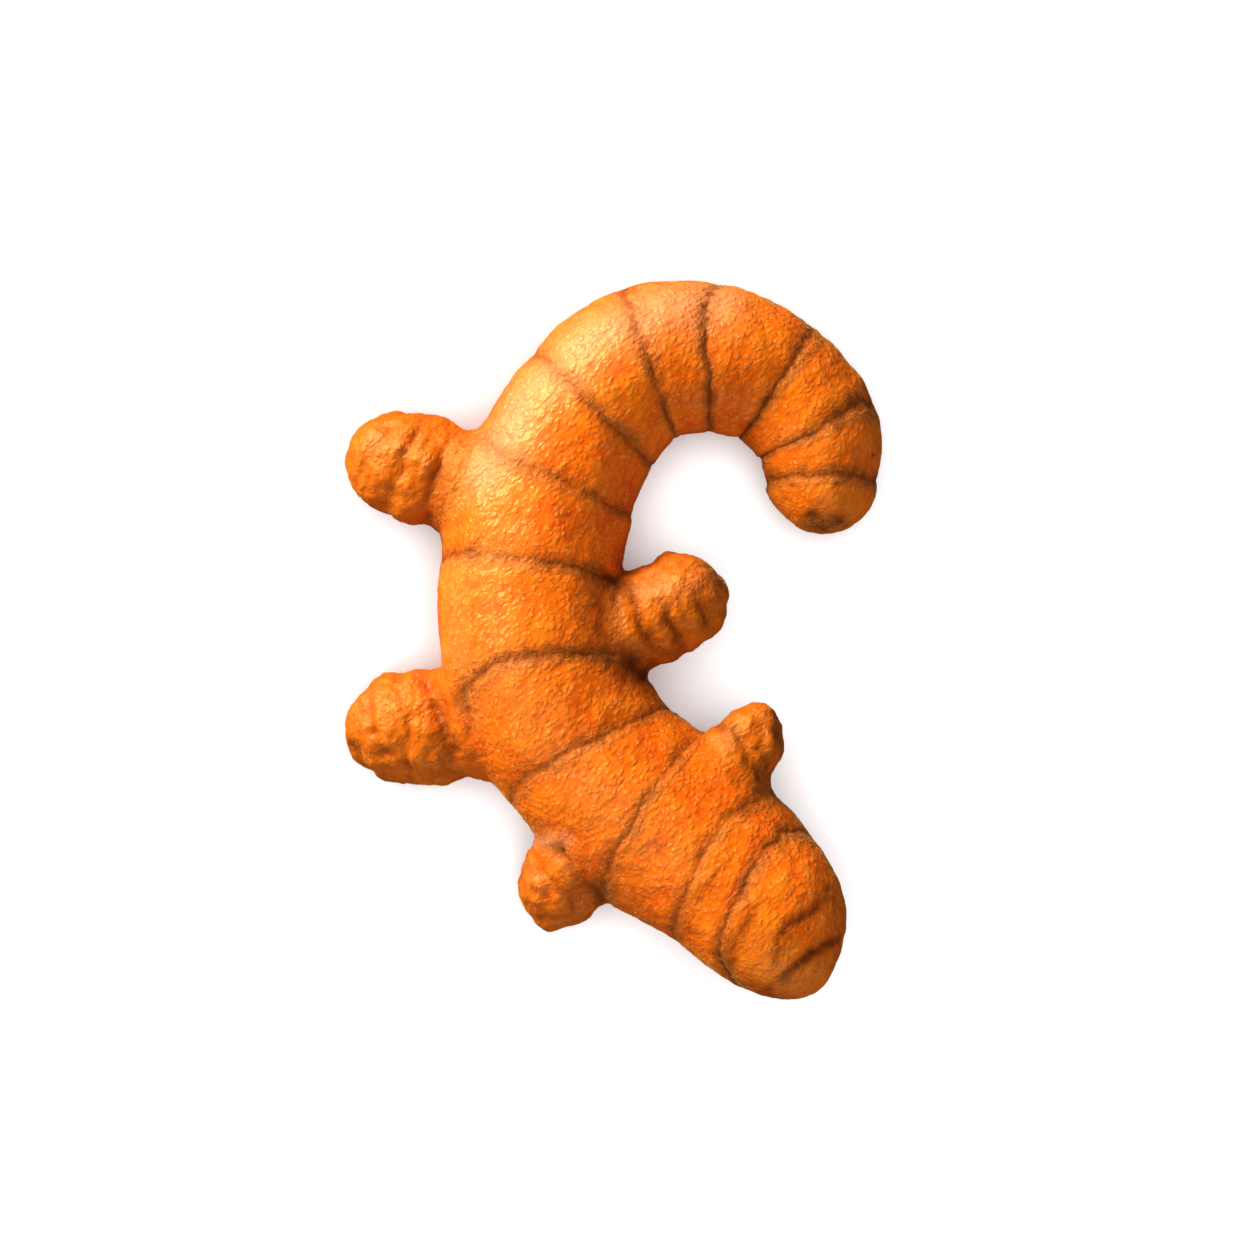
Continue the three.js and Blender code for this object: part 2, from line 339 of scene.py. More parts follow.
# Painted highlight: paler skin where the light falls, on the hook's crown, the lit side of the main limb
# and the buds' tops. The path from above, half the width and how pale.
paintedHighlightPatches = [
    ([(-15.5, 20.5), (-10.5, 29.5), (-2.0, 37.5), (6.0, 41.0), (13.0, 42.0)], 4.4, 0.95),
    ([(-12.0, 20.0), (-14.5, 8.0), (-14.0, -2.0), (-8.0, -12.0), (-1.0, -19.0), (7.0, -26.0)], 4.5, 0.35),
    ([(-19.0, 8.0), (-19.4, -1.0)], 3.2, 0.4),
    ([(-30.4, 24.6), (-26.4, 23.4)], 2.2, 0.6),
    ([(-24.2, 24.2), (-22.8, 20.8)], 0.9, 0.6),
    ([(-32.4, -8.0), (-27.2, -6.6)], 2.6, 0.45),
    ([(-24.6, -4.4), (-23.6, -8.6)], 0.8, 0.6),
    ([(3.6, 6.0), (7.0, 6.0), (10.2, 7.4)], 1.9, 0.9),
    ([(0.6, 4.6), (1.2, 0.8)], 0.7, 0.6),
    ([(-11.0, -28.0), (-9.0, -30.4)], 1.6, 0.7),
    ([(-9.0, -25.0), (-6.0, -24.6)], 1.6, 0.95),
    ([(-7.2, -26.6), (-5.4, -28.2)], 1.0, 0.6),
    ([(16.4, -10.2), (18.6, -9.4)], 1.0, 0.5),
]


# Catmull-Rom spline through the rows of points, with knots spaced by the root of the distance between
# them. On the span from p1 to p2 it is the cubic through both with slopes t1 and t2 from three-point
# differences, f going from 0 to 1. The ends are carried on straight.
def splineThrough(points, at):
    points = np.asarray(points, float)
    last = len(points) - 1
    carried = np.vstack([2 * points[0] - points[1], points, 2 * points[-1] - points[-2]])
    span = np.clip(np.floor(at).astype(int), 0, last - 1)
    f = (at - span)[:, None]
    p0, p1, p2, p3 = (carried[span + k] for k in range(4))
    steps = (p1 - p0, p2 - p1, p3 - p2)
    d0, d1, d2 = (np.linalg.norm(step, axis=1, keepdims=True) ** 0.5 for step in steps)
    t1 = ((p1 - p0) / d0 - (p2 - p0) / (d0 + d1) + (p2 - p1) / d1) * d1
    t2 = ((p2 - p1) / d1 - (p3 - p1) / (d1 + d2) + (p3 - p2) / d2) * d1
    return p1 + t1 * f + (3 * (p2 - p1) - 2 * t1 - t2) * f**2 + (2 * (p1 - p2) + t1 + t2) * f**3


# The distance from the first point to each one, from point to point.
def distanceAlong(points):
    return np.concatenate([[0], np.cumsum(np.linalg.norm(np.diff(points, axis=0), axis=1))])


# One limb sampled along its centre line: at each sample its middle, tangent, sideways and rising
# directions, half width w and distance from the first end. The half width is the spline of the rings'
# own, and falls as (1 - reach^p)^(1/p) over the first and last internode.
def sampleLimb(rings):
    rings = np.array(rings, float)
    last = len(rings) - 1
    heights = rings[:, 3] + rootForm["flatness"] * rings[:, 2]
    middles = np.column_stack([rings[:, 0], rings[:, 1], heights])
    steps = int(distanceAlong(middles)[-1] / rootForm["sampleStep"])
    ringNumber = last * (0.5 - 0.5 * np.cos(np.pi * np.linspace(0, 1, steps * 2)))
    middle = splineThrough(middles, ringNumber)
    along = distanceAlong(middle)
    ringNumber = np.interp(np.linspace(0, along[-1], steps), along, ringNumber)
    middle = splineThrough(middles, ringNumber)
    along = distanceAlong(middle)
    tangent = np.gradient(middle, axis=0)
    tangent /= np.linalg.norm(tangent, axis=1, keepdims=True)
    side = np.cross([0.0, 0.0, 1.0], tangent)
    side /= np.linalg.norm(side, axis=1, keepdims=True)
    rise = np.cross(tangent, side)
    reach = np.clip(np.maximum(1 - ringNumber, ringNumber - (last - 1)), 0, 1)
    dome = (1 - reach ** rootForm["domePower"]) ** (1 / rootForm["domePower"])
    width = splineThrough(np.column_stack([np.arange(last + 1), rings[:, 2]]), ringNumber)[:, 1]
    return {
        "middle": middle,
        "tangent": tangent,
        "side": side,
        "rise": rise,
        "halfWidth": dome * width,
        "along": along,
    }


# The limb as a tube on a grid of (distance along, angle round): middle + w cos(angle) sideways
# + flatness w sin(angle) upwards, closed by a point at each end.
def tubeOf(limb, firstVertex):
    sides = rootForm["tubeSides"]
    angle = np.linspace(0, 2 * np.pi, sides, endpoint=False)
    body = slice(1, -1)
    w = limb["halfWidth"][body, None, None]
    across = limb["side"][body, None] * np.cos(angle)[None, :, None]
    upwards = limb["rise"][body, None] * np.sin(angle)[None, :, None] * rootForm["flatness"]
    grid = limb["middle"][body, None] + w * (across + upwards)
    rows = len(grid)
    places = np.vstack([grid.reshape(-1, 3), limb["middle"][0], limb["middle"][-1]])
    row, column = np.meshgrid(np.arange(rows - 1), np.arange(sides), indexing="ij")
    turn = (column + 1) % sides
    here = row * sides
    ahead = here + sides
    quads = np.stack([here + column, here + turn, ahead + turn, ahead + column], -1)
    ring = np.arange(sides)
    nextOne = (ring + 1) % sides
    base = (rows - 1) * sides
    start = np.stack([np.full(sides, rows * sides), nextOne, ring], -1)
    end = np.stack([np.full(sides, rows * sides + 1), base + ring, base + nextOne], -1)
    faces = [(part + firstVertex).tolist() for part in (quads.reshape(-1, 4), start, end)]
    return places, faces[0] + faces[1] + faces[2]


# All the tubes in one mesh, welded into a single skin by a voxel net.
def weldLimbs(limbs):
    places, faces = [], []
    for limb in limbs.values():
        found, joined = tubeOf(limb, sum(len(p) for p in places))
        places.append(found)
        faces += joined
    mesh = bpy.data.meshes.new("limbs")
    mesh.from_pydata(np.vstack(places), [], faces)
    blank = newObject("limbs", mesh)
    net = blank.modifiers.new("weld", "REMESH")
    net.mode = "VOXEL"
    net.voxel_size = rootForm["voxel"]
    net.use_smooth_shade = True
    welded = blank.evaluated_get(bpy.context.evaluated_depsgraph_get())
    skin = bpy.data.meshes.new_from_object(welded)
    bpy.data.objects.remove(blank)
    bpy.data.meshes.remove(mesh)
    return skin


# A mesh's own numbers, so many to a row.
def numbersOf(items, field, perRow, kind=np.float32):
    values = np.empty(len(items) * perRow, kind)
    items.foreach_get(field, values)
    return values.reshape(-1, perRow)


# The normals that the skin has with its vertices at these places.
def normalsOf(mesh, places):
    mesh.vertices.foreach_set("co", places.astype(np.float32).ravel())
    mesh.update()
    return numbersOf(mesh.vertex_normals, "vector", 3).astype(float)


# The mean of each vertex's neighbours.
def neighbourMean(values, edges):
    count = np.bincount(edges.ravel(), minlength=len(values))
    total = np.empty_like(values)
    for k in range(values.shape[1]):
        total[:, k] = np.bincount(edges[:, 0], values[edges[:, 1], k], len(values))
        total[:, k] += np.bincount(edges[:, 1], values[edges[:, 0], k], len(values))
    return total / count[:, None]


# Moves each vertex towards its neighbours' mean by its own share, some times over.
def relax(places, edges, share, rounds):
    for _ in range(rounds):
        places = places + share[:, None] * (neighbourMean(places, edges) - places)
    return places


# Where points lie on a limb: the nearest sample of its centre line, moved to the bottom of the
# parabola through its distance and its two neighbours'. Gives the distance along, the offsets sideways
# and upwards as shares of the section, and the gap: how far the point stands outside the limb's skin.
def placeOnLimb(points, limb):
    middle = limb["middle"]
    parts = []
    for chunk in np.array_split(points, max(1, len(points) * len(middle) // 4_000_000)):
        apart = ((chunk**2).sum(1)[:, None] - 2 * chunk @ middle.T) + (middle**2).sum(1)[None]
        nearest = np.clip(apart.argmin(1), 1, len(middle) - 2)
        row = np.arange(len(chunk))
        before, here, after = (apart[row, nearest + k] for k in (-1, 0, 1))
        shift = np.clip(0.5 * (before - after) / (before - 2 * here + after), -1, 1)
        parts.append(nearest + shift)
    at = np.concatenate(parts)
    number = np.arange(len(middle))

    def read(name):
        values = limb[name]
        if values.ndim == 1:
            return np.interp(at, number, values)
        return np.column_stack([np.interp(at, number, values[:, k]) for k in range(3)])

    offset = points - read("middle")
    halfWidth = read("halfWidth")
    across = (offset * read("side")).sum(1)
    upwards = (offset * read("rise")).sum(1) / rootForm["flatness"]
    radius = np.hypot(across, upwards)
    return {
        "along": read("along"),
        "across": across / np.maximum(radius, 0.01),
        "upwards": upwards / np.maximum(radius, 0.01),
        "halfWidth": np.maximum(halfWidth, 0.3),
        "gap": radius - halfWidth,
    }


# What the noises draw from, the same on every run.
shuffled = np.random.default_rng(7).permutation(256)
turning = np.random.default_rng(8).uniform(-1, 1, (256, 3))
turning /= np.linalg.norm(turning, axis=1, keepdims=True)
scattered = np.random.default_rng(9).uniform(0, 1, (256, 3))


# A number from 0 to 255 for each lattice cell.
def cellNumber(cell, seed):
    mixed = shuffled[(cell[:, 0] + seed) & 255]
    mixed = shuffled[(mixed + cell[:, 1]) & 255]
    return shuffled[(mixed + cell[:, 2]) & 255]


# Gradient noise, about -1 to 1: every lattice corner holds a random direction, and the value is the
# smooth blend over the cell's eight corners of direction · (point - corner).
def waves(points, seed):
    cell = np.floor(points).astype(np.int64)
    part = points - cell
    fade = part**3 * (part * (part * 6 - 15) + 10)
    total = np.zeros(len(points))
    for corner in np.ndindex(2, 2, 2):
        corner = np.array(corner)
        weight = np.where(corner, fade, 1 - fade).prod(1)
        total += weight * (turning[cellNumber(cell + corner, seed)] * (part - corner)).sum(1)
    return total * 1.7


# Waves at two sizes, the finer at half height.
def roughWaves(points, seed):
    return (waves(points, seed) + 0.5 * waves(points * 2.1, seed + 31)) / 1.25


# Pebbles: 1 at the middle of each randomly placed pebble, falling with the squared distance to the
# nearest one.
def pebbles(points, seed):
    cell = np.floor(points).astype(np.int64)
    nearest = np.full(len(points), 9.0)
    for step in np.ndindex(3, 3, 3):
        neighbour = cell + np.array(step) - 1
        middle = neighbour + scattered[cellNumber(neighbour, seed)]
        nearest = np.minimum(nearest, ((points - middle) ** 2).sum(1))
    return 1 - nearest / 0.5


# 0 below low, 1 above high, smooth between them.
def fadeBetween(low, high, value):
    part = np.clip((value - low) / (high - low), 0, 1)
    return part * part * (3 - 2 * part)


def bell(value, width):
    return np.exp(-((value / width) ** 2))


# Signed distance along the limb to its nearest scar. A scar lies where the distance along equals
# at + slant·across + lean·upwards + wander·noise, the noise taken round the limb. Also gives how deep
# and dark that scar is, and on which side torn.
def nearestRing(place, rings, seed):
    around = np.column_stack([place["across"], place["upwards"], np.zeros(len(place["along"]))])
    found = {"offset": np.full(len(place["along"]), 99.0)}
    found |= {name: np.zeros(len(place["along"])) for name in ("deep", "lip", "dark")}
    for number, (at, slant, lean, *strengths) in enumerate(rings):
        stray = waves(around * 2.2 + number * 5.3, seed)
        stray = stray + 0.4 * waves(around * 8 + number * 3.1, seed + 5)
        offset = place["along"] - at + skinRelief["wander"] * stray
        offset -= slant * place["across"] + lean * place["upwards"]
        closer = np.abs(offset) < np.abs(found["offset"])
        found["offset"] = np.where(closer, offset, found["offset"])
        for name, strength in zip(("deep", "lip", "dark"), strengths):
            found[name] = np.where(closer, strength, found[name])
    return found


# The height that growth gives one limb's skin: a groove and a shallow valley at each scar, a torn lip
# beside it, and on buds soft bands round them. A bud's scars fade out on its top.
def limbRelief(place, rings, seed, isBud):
    relief = skinRelief
    ring = nearestRing(place, rings, seed)
    offset = ring["offset"]
    presence = 1 - fadeBetween(0.5 * relief["ringReach"], relief["ringReach"], np.abs(offset))
    if isBud:
        below = 1 - fadeBetween(*relief["budTopEdge"], place["upwards"])
        presence *= relief["budTopShare"] + (1 - relief["budTopShare"]) * below
    limbPlace = np.column_stack([
        place["along"],
        place["across"] * place["halfWidth"],
        place["upwards"] * place["halfWidth"],
    ])
    deep = ring["deep"] * presence
    broken = np.clip(0.8 + 0.7 * waves(limbPlace / relief["breakSize"], seed + 11), 0.1, 1.5)
    height = -relief["scarDepth"] * deep * broken * bell(offset, relief["scarWidth"])
    height -= relief["valleyDepth"] * deep * bell(offset, relief["valleyWidth"])
    torn = np.clip(0.6 + 1.2 * waves(limbPlace / relief["tearSize"], seed + 17), 0, 1.8)
    lipPlace = offset - np.sign(ring["lip"]) * relief["lipOffset"]
    lip = np.abs(ring["lip"]) * presence * torn
    height += relief["lipHeight"] * lip * bell(lipPlace, relief["lipWidth"])
    if isBud:
        spread = np.array([relief["budFoldLength"], relief["budFoldWidth"], relief["budFoldWidth"]])
        stir = relief["budStir"] * waves(limbPlace / relief["budStirSize"], seed)
        stirred = limbPlace / spread + stir[:, None]
        height += relief["budFoldHeight"] * roughWaves(stirred, seed + 23)
        height += relief["budLumpHeight"] * waves(limbPlace / relief["budLumpSize"], seed + 29)
    dark = presence * ring["dark"]
    return height, {"offset": offset, "ring": dark, "lip": ring["lip"], "limbPlace": limbPlace}


# How far points are from a path, seen from above, and how far along it the nearest place is, 0 to 1. The
# foot on each stretch is its start + f·stretch, with f from 0 to 1.
def nearPath(points, path):
    path = np.asarray(path, float)
    stretches = np.diff(path, axis=0)
    lengths = np.hypot(stretches[:, 0], stretches[:, 1])
    runs = np.concatenate([[0], np.cumsum(lengths)])
    relative = points[:, None] - path[None, :-1]
    f = np.clip((relative * stretches).sum(2) / lengths**2, 0, 1)
    away = np.linalg.norm(relative - f[..., None] * stretches, axis=2)
    nearest = away.argmin(1)
    row = np.arange(len(points))
    return away[row, nearest], (runs[nearest] + f[row, nearest] * lengths[nearest]) / runs[-1]


# The relief of the single creases and pits and the strength of all marks, on the upper side alone. A
# crease is depth · e^(-(distance/width)²) with a sharper cut along its middle, shallower towards both
# its ends.
def carveMarks(places, normals):
    relief = skinRelief
    upper = fadeBetween(*relief["upperEdge"], normals[:, 2])
    spread = places / relief["creaseStraySize"]
    stray = np.column_stack([waves(spread, 131), waves(spread, 137)])
    points = places[:, :2] + relief["creaseStray"] * stray
    height = np.zeros(len(places))
    dark = np.zeros(len(places))
    patches = {name: np.zeros(len(places)) for name in ("crust", "stainAndShade", "paintedHighlight")}
    for path, width, depth, shade in skinCreases:
        away, run = nearPath(points, path)
        strength = upper * (relief["creaseEnds"] + (1 - relief["creaseEnds"]) * np.sin(np.pi * run))
        core = bell(away, relief["creaseCore"])
        groove = (1 - relief["coreShare"]) * bell(away, width) + relief["coreShare"] * core
        height -= depth * strength * groove
        dark = np.maximum(dark, shade * strength * bell(away, relief["creaseCore"] + 0.2 * width))
    for x, y, radius, depth, shade in skinMarks:
        away = np.hypot(points[:, 0] - x, points[:, 1] - y)
        height -= depth * upper * bell(away, radius)
        dark = np.maximum(dark, shade * upper * bell(away, 0.75 * radius))
    for name, rows in (("crust", crustPatches), ("stainAndShade", stainsAndPaintedShade), ("paintedHighlight", paintedHighlightPatches)):
        for path, width, strength in rows:
            away, _ = nearPath(points, path)
            patches[name] = np.maximum(patches[name], strength * upper * bell(away, width))
    return height, {"crease": dark} | patches


# The whole skin's relief, in millimetres outwards, and what the material needs to know of it. Each
# limb's own relief counts by its share: the nearer its surface, the more, as e^(-gap/shareReach).
def carveSkin(places, normals, limbs):
    relief = skinRelief
    onLimbs = {name: placeOnLimb(places, limb) for name, limb in limbs.items()}
    gaps = np.column_stack([np.abs(onLimbs[name]["gap"]) for name in limbs])
    closeness = np.exp(-(gaps - gaps.min(1, keepdims=True)) / relief["shareReach"])
    shares = closeness / closeness.sum(1, keepdims=True)
    owner = gaps.argmin(1)
    height = np.full(len(places), rootForm["plump"])
    marks = {name: np.zeros(len(places)) for name in ("ring", "lip")}
    marks["ringPlace"] = np.zeros((len(places), 3))
    marks["limbPlace"] = np.zeros((len(places), 3))
    for number, name in enumerate(limbs):
        seed = 40 * number + 3
        limbHeight, carved = limbRelief(onLimbs[name], scarRings[name], seed, name != "mainLimb")
        height += shares[:, number] * limbHeight
        mine = owner == number
        marks["ring"] += shares[:, number] * carved["ring"]
        marks["lip"] += shares[:, number] * carved["lip"]
        marks["limbPlace"][mine] = carved["limbPlace"][mine] + [60.0 * number, 0, 0]
        marks["ringPlace"][mine] = carved["limbPlace"][mine]
        marks["ringPlace"][mine, 0] = carved["offset"][mine]
    marks["bud"] = 1 - shares[:, 0]
    marks["joint"] = bell(np.sort(gaps, axis=1)[:, 1], relief["jointReach"])
    height += relief["lumpHeight"] * waves(places / relief["lumpSize"], 101)
    height += relief["dimpleHeight"] * waves(places / relief["dimpleSize"], 103)
    turn = math.radians(relief["slantTurn"])
    lengthwise = places[:, 0] * math.cos(turn) + places[:, 1] * math.sin(turn)
    crosswise = places[:, 1] * math.cos(turn) - places[:, 0] * math.sin(turn)
    slanted = np.column_stack([
        lengthwise / relief["slantLength"],
        crosswise / relief["slantWidth"],
        places[:, 2] / relief["slantWidth"],
    ])
    height += relief["slantHeight"] * shares[:, 0] * roughWaves(slanted, 113)
    spread = places / relief["pebbleStirSize"]
    stir = np.column_stack([waves(spread, 107 + k) for k in range(3)])
    stirred = places + relief["pebbleStir"] * stir
    pebbleHeight = relief["pebbleHeight"] * (1 + relief["budPebble"] * marks["bud"])
    height += pebbleHeight * pebbles(stirred / relief["pebbleSize"], 109)
    markHeight, singleMarks = carveMarks(places, normals)
    return height + markHeight, marks | singleMarks


# The finished mesh. The joint between two limbs is filled by pushing the skin out by
# fillet/4 · (1 - other gap/fillet)² and relaxing it; then the relief goes on, and the belly is pressed
# onto the table by the smooth maximum of z and 0. Hollow says how far a place lies below its
# surroundings.
def makeSkin():
    limbs = {"mainLimb": sampleLimb(rootForm["mainLimb"])}
    limbs |= {name: sampleLimb(rings) for name, rings in rootForm["buds"].items()}
    mesh = weldLimbs(limbs)
    print("welded skin:", len(mesh.vertices), "vertices")
    places = numbersOf(mesh.vertices, "co", 3).astype(float)
    edges = numbersOf(mesh.edges, "vertices", 2, np.int32)
    gaps = np.column_stack([np.abs(placeOnLimb(places, limb)["gap"]) for limb in limbs.values()])
    fillets = np.array([rootForm["fillet"][name] for name in rootForm["buds"]])
    fillet = fillets[gaps[:, 1:].argmin(1)]
    closeToJoint = np.clip(1 - np.sort(gaps, axis=1)[:, 1] / fillet, 0, 1)
    places = places + normalsOf(mesh, places) * (fillet / 4 * closeToJoint**2)[:, None]
    places = relax(places, edges, 0.5 * fadeBetween(0, 0.7, closeToJoint), rootForm["jointRounds"])
    share = np.full(len(places), rootForm["skinShare"])
    places = relax(places, edges, share, rootForm["skinRounds"])
    normals = normalsOf(mesh, places)
    height, marks = carveSkin(places, normals, limbs)
    places = places + normals * height[:, None]
    softness = rootForm["bellySoftness"]
    z = places[:, 2]
    places[:, 2] = np.where(z > 3 * softness, z, softness * np.log1p(np.exp(z / softness)))
    share = np.full(len(places), rootForm["hollowShare"])
    smoothed = relax(places, edges, share, rootForm["hollowRounds"])
    marks["hollow"] = ((smoothed - places) * normalsOf(mesh, places)).sum(1)
    print("relief:", round(float(height.min()), 2), "to", round(float(height.max()), 2), "mm")
    return mesh, places, marks


# Sets the skin's middle over the CAD node's own middle, standing on its lowest point.
def standInFrame(places):
    low, high = (np.array(corner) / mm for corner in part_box("turmeric_rhizome"))
    shift = (low + high) / 2 - (places.min(0) + places.max(0)) / 2
    shift[2] = low[2] - places[:, 2].min()
    return places + shift


def keepNumbers(mesh, name, values):
    values = np.asarray(values, np.float32)
    kind, field = ("FLOAT", "value") if values.ndim == 1 else ("FLOAT_VECTOR", "vector")
    mesh.attributes.new(name, kind, "POINT").data.foreach_set(field, values.ravel())


# A socket's output as a number in an expression; every operator adds a Math node.
class Wire:
    def __init__(self, sheet, socket):
        self.sheet = sheet
        self.socket = socket

    def __add__(self, other):
        return self.sheet.maths("ADD", self, other)

    def __radd__(self, other):
        return self.sheet.maths("ADD", other, self)

    def __sub__(self, other):
        return self.sheet.maths("SUBTRACT", self, other)

    def __rsub__(self, other):
        return self.sheet.maths("SUBTRACT", other, self)

    def __mul__(self, other):
        return self.sheet.maths("MULTIPLY", self, other)

    def __rmul__(self, other):
        return self.sheet.maths("MULTIPLY", other, self)

    def __truediv__(self, other):
        return self.sheet.maths("DIVIDE", self, other)


# The nodes of a material or a world, added one by one.
class NodeSheet:
    def __init__(self, holder):
        holder.use_nodes = True
        self.nodes = holder.node_tree.nodes
        self.links = holder.node_tree.links
        self.nodes.clear()

    # Adds one node: its type, its settings, then the values or wires of its sockets.
    def add(self, kind, settings=None, sockets=None, output=0):
        node = self.nodes.new(kind)
        for name, value in (settings or {}).items():
            setattr(node, name, value)
        for key, value in (sockets or {}).items():
            if isinstance(value, Wire):
                self.links.new(value.socket, node.inputs[key])
            elif node.inputs[key].type == "RGBA":
                node.inputs[key].default_value = (*value, 1.0)
            else:
                node.inputs[key].default_value = value
        return Wire(self, node.outputs[output]) if node.outputs else node

    def maths(self, operation, first, second=0.0):
        return self.add("ShaderNodeMath", {"operation": operation}, {0: first, 1: second})

    def attribute(self, name, output="Fac"):
        return self.add("ShaderNodeAttribute", {"attribute_name": name}, output=output)

    # e to the power of -(value/width)².
    def bell(self, value, width):
        scaled = value / width
        return self.maths("EXPONENT", scaled * scaled * -1)

    def fade(self, value, low, high):
        sockets = {"Value": value, "From Min": low, "From Max": high}
        return self.add("ShaderNodeMapRange", {"interpolation_type": "SMOOTHSTEP"}, sockets)

    def mix(self, factor, first, second):
        sockets = {0: factor, 6: first, 7: second}
        return self.add("ShaderNodeMix", {"data_type": "RGBA"}, sockets, 2)

    def noise(self, place, size, detail=2.0, roughness=0.5, distortion=0.0, output=0):
        sockets = {"Vector": place, "Scale": 1 / size, "Detail": detail, "Roughness": roughness}
        return self.add("ShaderNodeTexNoise", None, sockets | {"Distortion": distortion}, output)

    def cells(self, place, size, softness):
        sockets = {"Vector": place, "Scale": 1 / size, "Smoothness": softness}
        return self.add("ShaderNodeTexVoronoi", {"feature": "SMOOTH_F1"}, sockets)

    def vectors(self, operation, first, second, key=1):
        return self.add("ShaderNodeVectorMath", {"operation": operation}, {0: first, key: second})

    # A place squeezed along and across, so that a pattern on it is drawn out along its first axis.
    def drawnOut(self, place, length, width):
        return self.vectors("MULTIPLY", place, (1 / length, 1 / width, 1 / width))

    # Thin lines where a noise passes through its middle.
    def veins(self, value, width):
        return 1 - self.fade(self.maths("ABSOLUTE", value - 0.5), 0.0, width)


# Colours of the skin, linear, and the sizes of its patterns in millimetres.
skinLook = {
    "amber": (0.90, 0.156, 0.002),
    "orange": (0.80, 0.094, 0.001),
    "rust": (0.46, 0.050, 0.001),
    "straw": (0.90, 0.31, 0.02),
    # the next two colours paint a highlight on the sides that face the key lamp
    "paintedHighlightColour": (0.94, 0.215, 0.012),
    "paintedHighlightPeak": (0.95, 0.265, 0.125),
    "tan": (0.52, 0.18, 0.03),
    "bark": (0.34, 0.065, 0.004),
    "budGold": (0.52, 0.098, 0.001),
    # the next colour is both real stains and painted shade round the buds
    "stainAndShadeBrown": (0.22, 0.036, 0.001),
    "scarBrown": (0.12, 0.020, 0.001),
    # the next colour paints the shade in the hollows at the joints
    "paintedJointShade": (0.06, 0.012, 0.001),
    # the next colour paints glints on the tops of the pebbles
    "paintedGlintColour": (1.0, 0.43, 0.14),
    "glint": (1.0, 0.72, 0.24),  # the tint of the skin's reflections
    "sheen": (1.0, 0.76, 0.22),
    "mottleSize": 6.0,
    "freckleSize": 1.3,
    "pebbleSize": 0.62,
    "pebbleStretch": 1.6,  # how much longer the pebbles and flecks are along the slanting wrinkles
    "poreSize": 0.8,
    "grainSize": 0.3,
    "crinkleSize": 0.55,
    "stirSize": 10 / 9,
    "stir": 0.9,  # how far the pebbles and pores stray from even cells
    "slantWidth": 0.55,
    "slantLength": 2.0,
    "streakWidth": 0.5,
    "streakLength": 6.0,
    "crackleWidth": 0.42,  # the fine dark lines that run along a scar
    "crackleLength": 2.2,
    "crackleVein": 0.09,
    "crackleShare": 0.8,
    "scarLine": 0.42,
    "scarZone": 1.15,
    "scarWander": 1.3,  # how far a scar's line wanders, and over what size
    "scarWanderSize": 1.3,
    "scarBreakSize": 2.2,
    "scarPatchSize": 3.2,
    "faintScar": 0.25,  # how much of a scar's line shows where it breaks up
    "faintZone": 0.5,
    "faintCrease": 0.5,
    "lipBand": 0.75,
    "lipCrust": 0.7,
    # how strongly a mark tints the skin
    "amberPebbles": 0.25,
    "paintedHighlight": 0.3,
    "paintedHighlightPeakShare": 0.65,
    "paintedGlints": 0.5,
    "glintsInPaintedHighlight": 0.3,  # how much stronger the painted glints are under the painted highlight
    "budTint": 0.45,
    "rustPores": 0.25,
    "stainAndShadeTint": 0.65,
    "zoneTint": 0.7,
    "scarZoneInPaintedHighlight": 0.35,  # how much weaker a scar's zone is under the painted highlight
    "scarTint": 0.75,
    "creaseTint": 0.8,
    # gloss and relief
    "gloss": 0.31,  # roughness of the plain skin, and what the patterns add to it or take away
    "freckleRough": 0.16,
    "pebbleSmooth": 0.08,
    "budRough": 0.08,
    "scarRough": 0.2,
    "ior": 1.42,
    "sheenWeight": 0.38,
    "sheenRoughness": 0.2,
    "pebbleBump": 0.085,
    "flatPebbles": 0.95,
    "pebblesInPaintedHighlight": 0.4,  # how much higher the pebbles stand under the painted highlight
    "grainBump": 0.026,
    "slantBump": 0.04,
    "streakBump": 0.02,
    "scarBump": 0.08,
    "crinkleBump": 0.12,
    "budCrinkle": 0.6,
}

# How the patterns fade in: between which of a pattern's values, and how strong it then is.
skinFades = {
    "mottle": (0.32, 0.68, 1.0),
    "rustFreckles": (0.45, 0.7, 0.4),
    "paintedHighlightFreckles": (0.6, 0.4, 0.5),
    "pebbleEdge": (0.05, 0.75, 1.0),
    "poreEdge": (0.08, 0.34, 1.0),
    # the next two place the painted glints on the tops of the pebbles
    "pebbleTop": (0.55, 0.95, 1.0),
    "paintedGlintCrinkle": (0.45, 0.62, 1.0),
    "strawWrinkle": (0.5, 0.75, 0.3),
    "strawStreak": (0.5, 0.72, 0.22),
    "strawRise": (0.02, 0.3, 0.25),
    # the next two paint shade in hollows, the second only at the joints
    "paintedShadeInHollows": (0.05, 0.45, 0.55),
    "paintedShadeInJoints": (0.1, 0.6, 0.6),
    "budFreckles": (0.35, 0.6, 0.35),
    "stainAndShadeFreckles": (0.35, 0.6, 0.5),
    "unbrokenScar": (0.3, 0.55, 0.75),
    "scarPatch": (0.35, 0.62, 0.7),
    "crackedCrinkle": (0.35, 0.65, 0.8),
    "tanCrinkle": (0.42, 0.6, 0.7),
    "darkCrinkle": (0.5, 0.36, 0.55),
}


